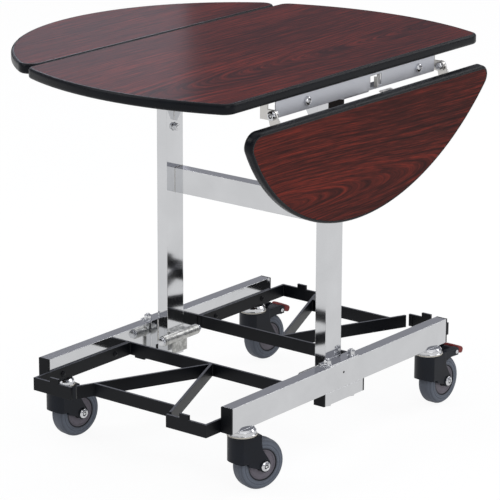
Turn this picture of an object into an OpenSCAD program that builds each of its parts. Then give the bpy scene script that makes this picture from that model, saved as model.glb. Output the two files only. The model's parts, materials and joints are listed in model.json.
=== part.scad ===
// Room service table: round drop-leaf top on a folding-leaf steel frame with four swivel casters.
// X runs from leaf to leaf, Y along the leaf hinges, Z up; the origin is on the floor at the centre.

/* [Tabletop] */
// Height of the top surface above the floor
top_height = 762; // [740:1:800]
// Thickness of the boards
board_t = 20; // [16:1:24]
// Width of the centre board between its two hinge edges
centre_w = 484; // [464:1:520]
// Length of a hinge edge between its sharp corners
hinge_edge = 786; // [760:1:840]
// How far the ends of the centre board bulge past the hinge edges
end_bulge = 53; // [45:1:80]
// Depth of a leaf from its hinge edge to its tip
leaf_depth = 242; // [200:1:250]
// Radius of the rounded board corners
corner_r = 25; // [15:1:35]
// Width of the edge moulding
edging_w = 6; // [5:0.5:9]
// Gap between a raised leaf and the centre board
leaf_gap = 1.5; // [1:0.1:3]
// Angle through which a leaf swings down from raised to hanging
hang_angle = 99; // [90:0.5:102]
// Offset of the top from the middle of the frame
top_shift = 25; // [0:1:30]

/* [Leaf hinges] */
// Distance of the hinge pin inboard of the board edge
pin_inset = 2; // [0:0.5:4]
// Distance of the hinge pin below the top surface
pin_drop = 43; // [40:0.5:48]
// Diameter of the hinge pin
pin_d = 8; // [6:0.5:10]
// Thickness of hinge plates
hinge_plate_t = 3; // [2:0.5:4]
// Height of the hinge straps
strap_h = 20; // [18:1:24]
// Length of the strap inboard of the pin
strap_l = 30; // [26:1:36]
// Length of the screw flange under a leaf
flange_l = 48; // [40:1:60]
// Width of the screw flanges along the hinge line
flange_w = 28; // [24:1:34]

/* [Rails] */
// Length of the rails under the hinge edges
rail_l = 500; // [460:1:520]
// Height of the rail web
rail_h = 32; // [30:1:36]
// Thickness of the rail sheet
rail_t = 3; // [2:0.5:3.5]
// Width of the rail flange under the board
rail_flange = 30; // [26:1:34]
// Distance of the rail face inboard of the board edge
rail_inset = 7; // [6:0.5:9]
// Distance of the latch centre from the middle of the rail
latch_y = 58; // [40:1:80]
// Length of the latch flap
latch_l = 31; // [28:1:33]
// Height of the latch flap
latch_h = 20; // [16:1:20]
// Thickness of the latch flap
latch_t = 2; // [1.5:0.1:2.5]
// Angle at which the sprung flap stands out
latch_angle = 26; // [22:1:27]

/* [Frame tubes] */
// Short side of the rectangular tube
tube_w = 25; // [24:0.5:28]
// Long side of the rectangular tube
tube_h = 50; // [46:1:54]
// Wall of the tubes
tube_wall = 2; // [1.5:0.1:2.5]
// Distance of the runner centre lines from the middle
runner_x = 226; // [215:1:235]
// Length of the runners with their caps
runner_l = 700; // [660:1:740]
// Thickness of the visible part of an end cap
cap_t = 4; // [3:0.5:6]
// Length of the short spacer tube under a runner
spacer_l = 130; // [120:1:150]
// Height of the top edge of the crossbar
crossbar_top = 494; // [440:1:540]
// Height of the bolt through each post
post_bolt_z = 578; // [560:1:584]
// Height at which the gussets start
gusset_z = 592; // [590:1:620]
// Reach of the gussets from the posts
gusset_reach = 60; // [40:1:80]
// Thickness of the yoke plate on top of the posts
yoke_t = 4; // [3:0.5:6]
// Width of the yoke plate along the hinge lines
yoke_w = 80; // [76:1:90]

/* [Foot clamps] */
// Thickness of the saddle plates
saddle_t = 3; // [2:0.5:4]
// Length of the saddle plates
saddle_l = 92; // [86:1:104]
// Distance of the long bolts from the middle
long_bolt_y = 38; // [36:0.5:40]
// Diameter of the long bolts
long_bolt_d = 8; // [6:0.5:10]
// Length of the clamp barrel
barrel_l = 104; // [96:1:110]
// Diameter of the clamp barrel
barrel_d = 21; // [18:0.5:24]
// Height of the clamp barrel axis
barrel_z = 146; // [142:1:150]

/* [Racks] */
// Height of the rack flat bar
rack_h = 25.5; // [22:0.5:30]
// Thickness of the rack flat bar
rack_t = 5; // [4:0.5:6]
// Height of the racks' underside above the underside of the runners
rack_lift = 0.5; // [0.5:0.5:4]
// Distance of the outer bars from the middle
rack_outer = 393; // [380:1:405]
// Distance of the inner bars from the middle
rack_inner = 114; // [108:1:120]
// Length of the outer bar pieces from each corner
rack_piece = 91; // [80:1:100]
// Distance of the set-back bar inboard of the outer bars
rack_recess = 46; // [38:1:58]
// Width of the locating tabs
tab_w = 22; // [16:1:28]
// Height of the locating tabs
tab_h = 9; // [6:1:12]
// Distance of the tabs from the rack corners
tab_from_corner = 42; // [38:1:46]

/* [Casters] */
// Wheel diameter
wheel_d = 100; // [96:1:102]
// Width of the tyre
wheel_w = 32; // [28:1:33]
// Diameter of the hub under the tyre
hub_d = 62; // [56:1:66]
// Offset of the wheel axle behind the swivel
trail = 36; // [32:1:38]
// Distance of the swivels from the middle
swivel_y = 303; // [290:1:310]
// Diameter of the swivel ring
ring_d = 57; // [54:1:60]
// Height of the swivel ring
ring_h = 14; // [13:1:16]
// Diameter of the fork housing
housing_d = 55; // [53:1:56]
// Thickness of the fork cheeks
cheek_t = 6.5; // [5:0.5:8]
// Diameter of the axles
axle_d = 8; // [6:0.5:10]
// Height of the runner underside above the floor
runner_z = 127; // [125:1:129]

/* [Hidden] */
$fn = 64;

// Colours
laminate_c = "#5f2b28";
edging_c = "#1c2029";
chrome_c = "#c9cacf";
satin_c = "#c3c6d0";
black_c = "#212429";
nylon_c = "#1c2027";
tyre_c = "#5e646f";
hub_c = "#6b6770";
red_c = "#8c3b38";

// Clearances
seat = 0.3;
run_gap = 0.5;
bore_gap = 0.1;
edging_fit = 0.1;
proud = 0.02;
eps = 1;

// Tabletop, worked out from its width, chord and bulge
edge_x = centre_w / 2;
chord = hinge_edge / 2;
board_z = top_height - board_t;
end_r = (edge_x * edge_x + end_bulge * end_bulge) / (2 * end_bulge);
end_y = chord + end_bulge - end_r;
end_corner_x = edge_x - corner_r;
end_corner_y = end_y + sqrt(pow(end_r - corner_r, 2) - pow(end_corner_x, 2));
end_angle = atan2(end_corner_y - end_y, end_corner_x);
leaf_r = (chord * chord + leaf_depth * leaf_depth) / (2 * leaf_depth);
leaf_back = leaf_r - leaf_depth;
leaf_corner_y = sqrt(pow(leaf_r - corner_r, 2) - pow(leaf_back + corner_r, 2));
leaf_angle = atan2(leaf_back + corner_r, leaf_corner_y);
edging_round = edging_w - 1;

// Hinge pins
pin_x = edge_x - pin_inset;
pin_z = top_height - pin_drop;
strap_end = rail_l / 2 + 12;
bracket_y = strap_end + hinge_plate_t;
arm_y = bracket_y + seat;
leaf_edge_dx = pin_inset + leaf_gap;
leaf_under = pin_drop - board_t;

// Middle of the box of the table as it stands, left leaf raised and right leaf hanging
tip_out = leaf_edge_dx + leaf_depth;
leaf_top = leaf_under + board_t;
hang_round = [leaf_edge_dx + edging_round, leaf_top - edging_round];
hang_x = hang_round[0] * cos(hang_angle) + hang_round[1] * sin(hang_angle) + edging_round;
box_x = top_shift + (hang_x - tip_out) / 2;

// Rails
rail_x = edge_x - rail_inset;
rail_bottom = board_z - rail_h;
latch_z = rail_bottom + (rail_h - latch_h) / 2;
window_l = latch_l + 6;
rail_bolt_ys = [-157, 196];
rail_bolt_z = rail_bottom + rail_h / 2;

// Frame
runner_top = runner_z + tube_h;
runner_in = runner_x - tube_w / 2;
post_x = runner_in - saddle_t - tube_w / 2;
post_in = post_x - tube_w / 2;
post_bottom = runner_z - tube_w;
post_top = rail_bottom - yoke_t;
crossbar_y = tube_w / 2;
yoke_x0 = -post_x - tube_w / 2;
yoke_x1 = top_shift + rail_x - 4;
yoke_bolt_y = tube_h / 2 + 7;

// Fasteners
bolt_d = 8;
bolt_hole_d = bolt_d + 0.2;
bolt_head_d = 14;
bolt_head_h = 5.5;
dome_d = 15;
dome_h = 5;
nut_d = 13;
nut_h = 6.5;
lock_nut_h = 6;
washer_d = 18;
washer_t = 1.6;
thread_out = washer_t + nut_h + 0.9;
small_bolt_d = 6;
small_hole_d = small_bolt_d + 0.4;
small_dome_d = 12;
screw_d = 7;
screw_h = 2.5;

// Casters
wheel_r = wheel_d / 2;
caster_top = runner_z;
fork_top = caster_top - ring_h;
housing_z = 64;
cheek_in = wheel_w / 2 + 2.2;
cheek_out = cheek_in + cheek_t;
cavity_r = wheel_r + 3;
stem_d = 12;
stem_below = 18;
stem_above = 12;
pedal_pin_y = trail + 31;
pedal_pin_z = 104;
pedal_pin_d = 5;
pedal_clip_d = 8;
brake_angle = 12;
// Turn of each caster about its swivel: front left, front right, back left, back right
caster_turns = [-9, -18, -6, -1];
caster_xs = [-runner_x, runner_x, -runner_x, runner_x];
caster_ys = [-swivel_y, -swivel_y, swivel_y, swivel_y];

// ---------- Helpers ----------

// Moves a part so that the origin is under the middle of the table's box as it stands
module place() {
  translate([-box_x, 0, 0]) children();
}

// The same for a part of the top, which sits off the middle of the frame
module place_top() {
  translate([top_shift - box_x, 0, 0]) children();
}

// Puts a copy on the other side of the YZ plane
module both_x() {
  children();
  mirror([1, 0, 0]) children();
}

// Puts a copy on the other side of the XZ plane
module both_y() {
  children();
  mirror([0, 1, 0]) children();
}

// Rectangular tube along Z, centred in X and Y
module tube_z(w, h, l, wall) {
  difference() {
    translate([-w / 2, -h / 2, 0]) cube([w, h, l]);
    translate([-w / 2 + wall, -h / 2 + wall, -eps]) cube([w - 2 * wall, h - 2 * wall, l + 2 * eps]);
  }
}

// Rectangular tube along Y, centred in X and Y, standing on Z = 0
module tube_y(w, h, l, wall) {
  difference() {
    translate([-w / 2, -l / 2, 0]) cube([w, l, h]);
    translate([-w / 2 + wall, -l / 2 - eps, wall]) cube([w - 2 * wall, l + 2 * eps, h - 2 * wall]);
  }
}

// Cylinder along Y from y0 to y1
module rod_y(d, y0, y1) {
  translate([0, y0, 0]) rotate([-90, 0, 0]) cylinder(d = d, h = y1 - y0);
}

// Cylinder along X from x0 to x1
module rod_x(d, x0, x1) {
  translate([x0, 0, 0]) rotate([0, 90, 0]) cylinder(d = d, h = x1 - x0);
}

// Hexagonal bolt head or nut standing on Z = 0
module hex(across, h) {
  cylinder(d = across / cos(30), h = h, $fn = 6);
}

// Low domed bolt head standing on Z = 0
module dome(d, h) {
  ball_r = (d * d / 4 + h * h) / (2 * h);
  intersection() {
    translate([0, 0, h - ball_r]) sphere(r = ball_r);
    cylinder(d = d, h = h);
  }
}

// Cross-section of the edge moulding: flat inside, rounded outside, with its outer face at X = r
module edging_profile(r) {
  c = edging_round;
  translate([r - edging_w, 0]) square([edging_w - c, board_t]);
  translate([r - edging_w, c]) square([edging_w, board_t - 2 * c]);
  intersection() {
    union() {
      translate([r - c, c]) circle(r = c);
      translate([r - c, board_t - c]) circle(r = c);
    }
    translate([r - c, 0]) square([c, board_t]);
  }
}

// ---------- Tabletop ----------

// Board inside the moulding: arcs and edges, with full discs in its cut corners
module centre_board() {
  in = edging_w + edging_fit;
  color(laminate_c) place_top() translate([0, 0, board_z]) {
    difference() {
      intersection() {
        translate([0, end_y, 0]) cylinder(r = end_r - in, h = board_t, $fn = 128);
        translate([0, -end_y, 0]) cylinder(r = end_r - in, h = board_t, $fn = 128);
        translate([-edge_x + in, -centre_w, -eps])
          cube([centre_w - 2 * in, 2 * centre_w, board_t + 2 * eps]);
      }
      both_x() both_y() translate([end_corner_x, end_corner_y, -eps])
      linear_extrude(board_t + 2 * eps) polygon([
        [corner_r - in, 0], [3 * corner_r, 0], [3 * corner_r, 3 * corner_r],
        [3 * corner_r * cos(end_angle), 3 * corner_r * sin(end_angle)],
        [(corner_r - in) * cos(end_angle), (corner_r - in) * sin(end_angle)]
      ]);
    }
    both_x() both_y() translate([end_corner_x, end_corner_y, 0])
      cylinder(r = corner_r - in + proud, h = board_t);
  }
}

// Corner and half end arc of the centre board's moulding
module quarter_edging() {
  translate([end_corner_x, end_corner_y, 0]) rotate_extrude(angle = end_angle) edging_profile(corner_r);
  translate([0, end_y, 0]) rotate([0, 0, end_angle])
    rotate_extrude(angle = 90 - end_angle, $fn = 128) edging_profile(end_r);
}

// Hinge edge of the centre board's moulding with the quarters at both of its ends
module side_edging() {
  rotate([90, 0, 0]) translate([0, 0, -end_corner_y])
    linear_extrude(2 * end_corner_y) edging_profile(edge_x);
  quarter_edging();
  translate([0, 0, board_t]) rotate([180, 0, 0]) quarter_edging();
}

module centre_edging() {
  color(edging_c) place_top() translate([0, 0, board_z]) {
    side_edging();
    rotate([0, 0, 180]) side_edging();
  }
}

// Leaf with its hinge edge on X = 0 and its tip towards +X
module leaf_board() {
  in = edging_w + edging_fit;
  difference() {
    intersection() {
      translate([-leaf_back, 0, 0]) cylinder(r = leaf_r - in, h = board_t, $fn = 128);
      translate([in, -hinge_edge, -eps]) cube([leaf_depth, 2 * hinge_edge, board_t + 2 * eps]);
    }
    both_y() translate([corner_r, leaf_corner_y, -eps]) linear_extrude(board_t + 2 * eps) polygon([
      [-corner_r + in, 0], [-3 * corner_r, 0], [-3 * corner_r, 5 * corner_r], [3 * corner_r, 5 * corner_r],
      [(corner_r - in) * sin(leaf_angle), (corner_r - in) * cos(leaf_angle)]
    ]);
  }
  both_y() translate([corner_r, leaf_corner_y, 0]) cylinder(r = corner_r - in + proud, h = board_t);
}

module leaf_corner_edging() {
  translate([corner_r, -leaf_corner_y, 0]) rotate([0, 0, 180])
    rotate_extrude(angle = 90 + leaf_angle) edging_profile(corner_r);
}

// Moulding of a leaf: a length round the arc butted against one along the hinge edge and its corners
module leaf_edging() {
  butt = seat / 6 / leaf_r * 180 / PI;
  translate([-leaf_back, 0, 0]) rotate([0, 0, leaf_angle - 90 + butt])
    rotate_extrude(angle = 180 - 2 * (leaf_angle + butt), $fn = 128) edging_profile(leaf_r);
  rotate([90, 0, 180]) translate([0, 0, -leaf_corner_y]) linear_extrude(2 * leaf_corner_y) edging_profile(0);
  leaf_corner_edging();
  translate([0, 0, board_t]) rotate([180, 0, 0]) leaf_corner_edging();
}

// Puts a raised right-hand leaf part on the left side
module on_left() {
  mirror([1, 0, 0]) translate([pin_x, 0, pin_z]) children();
}

// Puts a raised right-hand leaf part on the right side, hanging down
module on_right() {
  translate([pin_x, 0, pin_z]) rotate([0, hang_angle, 0]) children();
}

module left_leaf_board() {
  color(laminate_c) place_top() on_left() translate([leaf_edge_dx, 0, leaf_under]) leaf_board();
}

module right_leaf_board() {
  color(laminate_c) place_top() on_right() translate([leaf_edge_dx, 0, leaf_under]) leaf_board();
}

module left_leaf_edging() {
  color(edging_c) place_top() on_left() translate([leaf_edge_dx, 0, leaf_under]) leaf_edging();
}

module right_leaf_edging() {
  color(edging_c) place_top() on_right() translate([leaf_edge_dx, 0, leaf_under]) leaf_edging();
}

// ---------- Leaf hinges ----------

// Hinge strap with a round eye on the pin, lying in the XZ plane, from the pin inboard
module strap_profile(reach, top) {
  difference() {
    union() {
      circle(d = strap_h);
      translate([-reach, -strap_h / 2]) square([reach, strap_h]);
      translate([-reach, 0]) square([reach * 0.55, top]);
    }
    circle(d = pin_d + bore_gap);
  }
}

// Bracket on the frame: strap, screw flange under the board and its two dome screws
module bracket() {
  top = board_z - pin_z;
  difference() {
    union() {
      translate([0, bracket_y, 0]) rotate([90, 0, 0])
        linear_extrude(hinge_plate_t) strap_profile(strap_l, top);
      translate([-strap_l, bracket_y - flange_w, top - hinge_plate_t])
        cube([strap_l * 0.55, flange_w, hinge_plate_t]);
    }
    rod_y(pin_d + bore_gap, bracket_y - hinge_plate_t - eps, bracket_y + eps);
  }
  translate([-strap_l * 0.72, bracket_y - flange_w * 0.6, top - hinge_plate_t])
    rotate([180, 0, 0]) dome(screw_d, screw_h);
}

module left_hinge_brackets() {
  color(chrome_c) place_top() on_left() both_y() bracket();
}

module right_hinge_brackets() {
  color(chrome_c) place_top() translate([pin_x, 0, pin_z]) both_y() bracket();
}

// Shoulder pin with a domed head outside and a lock nut inside
module hinge_pin() {
  head_y = arm_y + hinge_plate_t + seat;
  nut_y = bracket_y - hinge_plate_t;
  end_y = nut_y - lock_nut_h - 1;
  rod_y(pin_d - bore_gap, end_y, head_y);
  translate([0, head_y, 0]) rotate([-90, 0, 0]) dome(pin_d + 9, dome_h);
  difference() {
    translate([0, nut_y, 0]) rotate([90, 0, 0]) hex(pin_d + 5, lock_nut_h);
    rod_y(pin_d - bore_gap, end_y, nut_y + eps);
  }
}

module hinge_pins() {
  color(chrome_c) place_top() both_x() translate([pin_x, 0, pin_z]) both_y() hinge_pin();
}

// Arm on a leaf, drawn raised: eye on the pin, cranked strap and screw flange under the board
module leaf_arm() {
  far = leaf_edge_dx + 10;
  difference() {
    union() {
      translate([0, arm_y + hinge_plate_t, 0]) rotate([90, 0, 0]) linear_extrude(hinge_plate_t) {
        circle(d = strap_h);
        polygon([
          [-strap_h / 2 * sin(40), strap_h / 2 * cos(40)],
          [far, leaf_under],
          [far + flange_l, leaf_under],
          [far + flange_l, leaf_under - 6],
          [strap_h / 2 * sin(40), -strap_h / 2 * cos(40)]
        ]);
      }
      translate([far, arm_y, leaf_under - hinge_plate_t]) cube([flange_l, flange_w, hinge_plate_t]);
    }
    rod_y(pin_d + bore_gap, arm_y - eps, arm_y + hinge_plate_t + eps);
  }
  for (k = [0.25, 0.75])
    translate([far + flange_l * k, arm_y + flange_w * 0.6, leaf_under - hinge_plate_t])
      rotate([180, 0, 0]) dome(screw_d, screw_h);
}

module left_leaf_arms() {
  color(chrome_c) place_top() on_left() both_y() leaf_arm();
}

module right_leaf_arms() {
  color(chrome_c) place_top() on_right() both_y() leaf_arm();
}

// ---------- Rails and latches ----------

latch_pin_d = 2.5;
latch_pin_x = rail_x - rail_t - 3.2;
latch_pin_y = latch_y + window_l / 2 - 3;

// Right-hand rail: web with a window for the latch and two flanges that hold the latch pin;
// the upper flange stops short of the hinge brackets
module rail() {
  top_l = 2 * (bracket_y - flange_w - seat);
  difference() {
    union() {
      translate([rail_x - rail_t, -rail_l / 2, rail_bottom]) cube([rail_t, rail_l, rail_h]);
      translate([rail_x - rail_flange, -rail_l / 2, rail_bottom]) cube([rail_flange, rail_l, rail_t]);
      translate([rail_x - rail_flange, -top_l / 2, board_z - rail_t]) cube([rail_flange, top_l, rail_t]);
    }
    both_y() translate([rail_x - rail_flange / 2 - 3, yoke_bolt_y, rail_bottom - eps])
      cylinder(d = small_hole_d, h = rail_t + 2 * eps);
    translate([rail_x - rail_t - eps, latch_y - window_l / 2, latch_z - 0.8])
      cube([rail_t + 2 * eps, window_l, latch_h + 1.6]);
    translate([latch_pin_x, latch_pin_y, rail_bottom - eps])
      cylinder(d = latch_pin_d + bore_gap, h = rail_h + 2 * eps);
    for (y = rail_bolt_ys) translate([0, y, rail_bolt_z])
      rod_x(bolt_hole_d, rail_x - rail_t - eps, rail_x + eps);
  }
}

module left_rail() {
  color(satin_c) place_top() mirror([1, 0, 0]) rail();
}

module right_rail() {
  color(satin_c) place_top() rail();
}

// Domed bolts through the rail webs with nuts behind them
module rail_bolts() {
  color(chrome_c) place_top() both_x() for (y = rail_bolt_ys) translate([0, y, rail_bolt_z]) {
    rod_x(bolt_d, rail_x - rail_t - lock_nut_h - 2, rail_x);
    translate([rail_x, 0, 0]) rotate([0, 90, 0]) dome(dome_d, dome_h + 1);
    translate([rail_x - rail_t, 0, 0]) rotate([0, -90, 0]) hex(nut_d, lock_nut_h);
  }
}

// Pins of the latches, held in both flanges of a rail, with a head below
module latch_pins() {
  color(chrome_c) place_top() both_x() translate([latch_pin_x, latch_pin_y, rail_bottom]) {
    translate([0, 0, -0.6]) cylinder(d = latch_pin_d - bore_gap, h = rail_h + 0.1);
    translate([0, 0, -1.2]) cylinder(d = 5, h = 1.2);
  }
}

// Sprung latch flap: eye on its pin and a plate with a bent end that stands out through the window
module latch() {
  rotate([0, 0, latch_angle]) {
    difference() {
      cylinder(r = 2.8, h = latch_h);
      translate([0, 0, -eps]) cylinder(d = latch_pin_d + bore_gap, h = latch_h + 2 * eps);
    }
    difference() {
      linear_extrude(latch_h) polygon([
        [1.6, 0], [1.6, -latch_l + latch_t], [-3, -latch_l + latch_t], [-3, -latch_l],
        [1.6 + latch_t, -latch_l], [1.6 + latch_t, 0]
      ]);
      translate([0, 0, -eps]) cylinder(d = latch_pin_d + 1, h = latch_h + 2 * eps);
    }
  }
}

module right_latch() {
  color(chrome_c) place_top() translate([latch_pin_x, latch_pin_y, latch_z]) latch();
}

module left_latch() {
  color(chrome_c) place_top() mirror([1, 0, 0]) translate([latch_pin_x, latch_pin_y, latch_z]) latch();
}

// Strike plate under a leaf, drawn raised: its lip rests on the sprung flap
module strike() {
  x0 = leaf_edge_dx + 0.6;
  lip = board_z - latch_z - latch_h - seat;
  translate([x0, latch_y - 20, leaf_under - 2]) cube([24, 36, 2]);
  translate([x0, latch_y - 20, leaf_under - lip]) cube([2, 36, lip]);
  for (y = [latch_y - 12, latch_y + 8])
    translate([x0 + 14, y, leaf_under - 2]) rotate([180, 0, 0]) dome(6, 2);
}

module left_strike() {
  color(chrome_c) place_top() on_left() strike();
}

module right_strike() {
  color(chrome_c) place_top() on_right() strike();
}

// ---------- Posts and crossbar ----------

// Post on the right: tube drilled for its bolts
module post() {
  difference() {
    translate([post_x, 0, post_bottom]) tube_z(tube_w, tube_h, post_top - post_bottom, tube_wall);
    for (z = [post_bolt_z, barrel_z]) translate([0, 0, z])
      rod_x(bolt_hole_d, post_x - tube_w, post_x + tube_w);
  }
}

// Gusset plates welded between the posts and the yoke
module gussets() {
  color(chrome_c) place() both_x() translate([0, 2, 0]) rotate([90, 0, 0]) linear_extrude(4) polygon([
    [post_in, gusset_z], [post_in, post_top], [post_in - gusset_reach, post_top],
    [post_in - gusset_reach, post_top - 14], [post_in - 8, gusset_z]
  ]);
}

// Where the rails are bolted to the yoke
module at_yoke_bolts() {
  for (x = [top_shift - rail_x + rail_flange / 2 + 3, top_shift + rail_x - rail_flange / 2 - 3])
    both_y() translate([x, yoke_bolt_y, rail_bottom]) children();
}

// Plate welded on top of both posts; the rails are bolted down on it
module yoke() {
  color(satin_c) place() difference() {
    translate([yoke_x0, -yoke_w / 2, rail_bottom - yoke_t]) cube([yoke_x1 - yoke_x0, yoke_w, yoke_t]);
    at_yoke_bolts() translate([0, 0, -yoke_t - eps]) cylinder(d = small_hole_d, h = yoke_t + 2 * eps);
  }
}

module yoke_bolts() {
  color(chrome_c) place() at_yoke_bolts() {
    translate([0, 0, -yoke_t]) cylinder(d = small_bolt_d, h = yoke_t + rail_t + 6);
    translate([0, 0, -yoke_t]) rotate([180, 0, 0]) dome(small_dome_d, 3.5);
    translate([0, 0, rail_t]) hex(10, 5);
  }
}

module left_post() {
  color(chrome_c) place() mirror([1, 0, 0]) post();
}

module right_post() {
  color(chrome_c) place() post();
}

module crossbar() {
  color(chrome_c) place() translate([-post_in, crossbar_y, crossbar_top - tube_h]) rotate([0, 0, -90])
    translate([0, post_in, 0]) tube_y(tube_w, tube_h, 2 * post_in, tube_wall);
}

// Bolt through each post with a washer and nut inboard and a domed head outboard
module post_bolts() {
  color(chrome_c) place() both_x() translate([0, 0, post_bolt_z]) {
    rod_x(bolt_d, post_in - thread_out, post_x + tube_w / 2);
    translate([post_x + tube_w / 2, 0, 0]) rotate([0, 90, 0]) dome(dome_d, dome_h);
    rod_x(washer_d, post_in - washer_t, post_in);
    translate([post_in - washer_t, 0, 0]) rotate([0, -90, 0]) hex(nut_d, nut_h);
  }
}

// ---------- Runners and foot clamps ----------

// Runner on the right: tube with holes for the long bolts and the caster stems
module runner() {
  tube_l = runner_l - 2 * cap_t;
  difference() {
    translate([runner_x, 0, runner_z]) tube_y(tube_w, tube_h, tube_l, tube_wall);
    both_y() translate([runner_x, long_bolt_y, runner_z - eps])
      cylinder(d = long_bolt_d + 0.4, h = tube_h + 2 * eps);
    translate([runner_x, -2, runner_z + tube_h * 0.6]) rod_x(5, tube_w / 2 - tube_wall - eps, tube_w);
    both_y() translate([runner_x, swivel_y, runner_z - eps])
      cylinder(d = stem_d + 0.4, h = tube_wall + 2 * eps);
  }
}

module left_runner() {
  color(chrome_c) place() mirror([1, 0, 0]) runner();
}

module right_runner() {
  color(chrome_c) place() runner();
}

// Plug for the end of a tube: face plate and a spigot inside the wall, along Y
module end_cap(w, h, t) {
  spigot = 12;
  in = tube_wall + seat;
  translate([-w / 2, 0, 0]) cube([w, t, h]);
  translate([-w / 2 + in, -spigot, in]) cube([w - 2 * in, spigot + t / 2, h - 2 * in]);
}

module runner_caps() {
  color(black_c) place() both_x() both_y() translate([runner_x, runner_l / 2 - cap_t, runner_z])
    end_cap(tube_w, tube_h, cap_t);
}

// Saddle: plate over the runner with a flange down its inboard face
module saddle() {
  difference() {
    union() {
      translate([runner_in - saddle_t, -saddle_l / 2, runner_top])
        cube([tube_w + saddle_t, saddle_l, saddle_t]);
      translate([runner_in - saddle_t, -saddle_l / 2, runner_z])
        cube([saddle_t, saddle_l, tube_h + saddle_t]);
    }
    both_y() translate([runner_x, long_bolt_y, runner_top - eps])
      cylinder(d = long_bolt_d + 0.4, h = saddle_t + 2 * eps);
  }
}

module saddles() {
  color(chrome_c) place() both_x() saddle();
}

// Long bolts through saddle, runner and spacer, heads below
module long_bolts() {
  color(chrome_c) place() both_x() both_y() translate([runner_x, long_bolt_y, 0]) {
    translate([0, 0, post_bottom - bolt_head_h]) hex(bolt_head_d, bolt_head_h);
    translate([0, 0, post_bottom - 2])
      cylinder(d = long_bolt_d, h = runner_top + saddle_t - post_bottom + 13);
  }
}

module long_bolt_nuts() {
  color(chrome_c) place() both_x() both_y()
  translate([runner_x, long_bolt_y, runner_top + saddle_t]) difference() {
    union() {
      cylinder(d = washer_d, h = washer_t);
      translate([0, 0, washer_t]) hex(bolt_head_d, nut_h);
    }
    translate([0, 0, -eps]) cylinder(d = long_bolt_d, h = washer_t + nut_h + 4 * eps);
  }
}

module spacer_tubes() {
  color(chrome_c) place() both_x() difference() {
    translate([runner_x, 0, post_bottom]) tube_y(tube_w, tube_w, spacer_l - 2 * cap_t, tube_wall);
    both_y() translate([runner_x, long_bolt_y, post_bottom - eps])
      cylinder(d = long_bolt_d + 0.4, h = tube_w + 2 * eps);
  }
}

module spacer_caps() {
  color(black_c) place() both_x() both_y() translate([runner_x, spacer_l / 2 - cap_t, post_bottom])
    end_cap(tube_w, tube_w, cap_t);
}

keeper_t = 3;
keeper_h = 34;

// Clamp barrel on the inboard face of a post foot: round bar, seat block and keeper plate
module clamp_barrel() {
  bx = post_in - barrel_d / 2;
  difference() {
    union() {
      translate([bx, 0, barrel_z]) rod_y(barrel_d, -barrel_l / 2, barrel_l / 2);
      translate([bx, -tube_h / 2, barrel_z - barrel_d / 2]) cube([barrel_d / 2, tube_h, barrel_d]);
      translate([bx - keeper_t / 2, -tube_h / 2 + keeper_t, barrel_z - keeper_h])
        cube([keeper_t, tube_h - 2 * keeper_t, keeper_h]);
    }
    translate([bx, 0, barrel_z]) rod_y(bolt_hole_d, -barrel_l, barrel_l);
  }
}

module clamp_barrels() {
  color(chrome_c) place() both_x() clamp_barrel();
}

// Bolt along each barrel, head at the front and nut at the back, each on a washer
module barrel_bolts() {
  color(chrome_c) place() both_x() translate([post_in - barrel_d / 2, 0, barrel_z]) {
    rod_y(bolt_d, -barrel_l / 2, barrel_l / 2 + thread_out);
    both_y() rod_y(washer_d, barrel_l / 2, barrel_l / 2 + washer_t);
    translate([0, -barrel_l / 2 - washer_t, 0]) rotate([90, 0, 0]) hex(bolt_head_d, bolt_head_h);
    translate([0, barrel_l / 2 + washer_t, 0]) rotate([-90, 0, 0]) hex(bolt_head_d, nut_h);
  }
}

// ---------- Racks ----------

rack_z = runner_z + rack_lift;
rack_top = rack_z + rack_h;
rack_setback = rack_outer - rack_recess;
rack_x = runner_in;
piece_x = rack_x - rack_piece;
// Slope of the diagonals from the inner bar to the ends of the outer pieces
diag_run = rack_outer - rack_inner;
diag_angle = atan2(piece_x, diag_run);

// Plan of a flat bar along X from x0 to x1 with its outer face on Y = y
module bar_x(x0, x1, y) {
  translate([x0, y - rack_t]) square([x1 - x0, rack_t]);
}

// Plan of a diagonal flat bar from the inner bar to the end of an outer piece
module diagonal() {
  intersection() {
    translate([0, rack_inner]) rotate(-diag_angle)
      translate([-rack_t / 2, -rack_t]) square([rack_t, diag_run + 3 * rack_t]);
    translate([-rack_x, rack_inner - rack_t / 2]) square([2 * rack_x, diag_run]);
  }
}

// Back rack, welded from flat bar; the front one mirrors it
module rack() {
  setback_x = piece_x * (rack_setback - rack_inner) / diag_run;
  translate([0, 0, rack_z]) linear_extrude(rack_h) {
    both_x() {
      translate([rack_x - rack_t, rack_inner - rack_t]) square([rack_t, rack_outer - rack_inner + rack_t]);
      bar_x(piece_x - rack_t, rack_x, rack_outer);
      diagonal();
    }
    bar_x(-rack_x, rack_x, rack_inner);
    bar_x(-setback_x, setback_x, rack_setback);
  }
  both_x() translate([rack_x - tab_from_corner - tab_w, rack_outer - rack_t, rack_top - tab_h])
    cube([tab_w, rack_t, 2 * tab_h]);
}

module back_rack() {
  color(black_c) place() difference() {
    rack();
    rack_bolt_holes();
  }
}

module front_rack() {
  color(black_c) place() mirror([0, 1, 0]) difference() {
    rack();
    rack_bolt_holes();
  }
}

rack_bolt_ys = [rack_inner + 45, runner_l / 2 - 36];
rack_bolt_z = rack_z + rack_h / 2;

module rack_bolt_holes() {
  both_x() for (y = rack_bolt_ys) translate([0, y, rack_bolt_z])
    rod_x(small_hole_d, rack_x - rack_t - eps, rack_x + eps);
}

// Domed bolts that hold the racks to the runners
module rack_bolts() {
  color(black_c) place() both_x() both_y() for (y = rack_bolt_ys) translate([0, y, rack_bolt_z]) {
    rod_x(small_bolt_d, rack_x - rack_t, rack_x);
    translate([rack_x - rack_t, 0, 0]) rotate([0, -90, 0]) dome(small_dome_d, 4);
  }
}

// ---------- Casters ----------

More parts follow.
